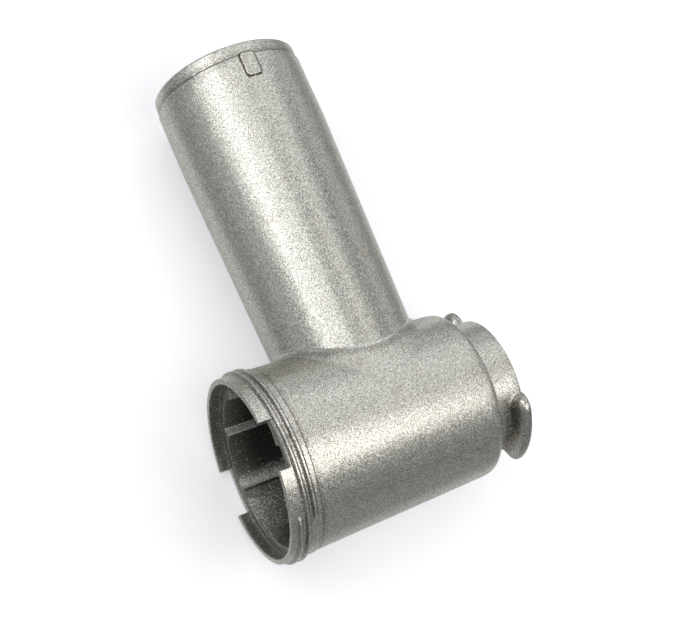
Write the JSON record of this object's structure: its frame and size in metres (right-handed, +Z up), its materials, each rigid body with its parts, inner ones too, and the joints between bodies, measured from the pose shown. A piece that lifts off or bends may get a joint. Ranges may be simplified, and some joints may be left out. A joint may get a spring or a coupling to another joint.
{
  "type": "meat grinder housing",
  "caption": "Cast housing of a meat mincer: a short threaded barrel with saw-tooth ribs inside and a notched mouth for the cutting plate, a tall feed tube, and a bayonet neck for the drive",
  "frame": {"origin": "middle of the casting's box, on the table it lies on", "axes": "+Z up from the table; +Y along the feed tube towards its rim; +X along the barrel towards the drive neck, so the mouth faces -X"},
  "size_m": [0.0878, 0.1564, 0.0609],
  "materials": {
    "cast_aluminium": "blasted, fine grain, satin"
  },
  "bodies": {
    "root": {"housing": "cast_aluminium"}
  },
  "joints": []
}
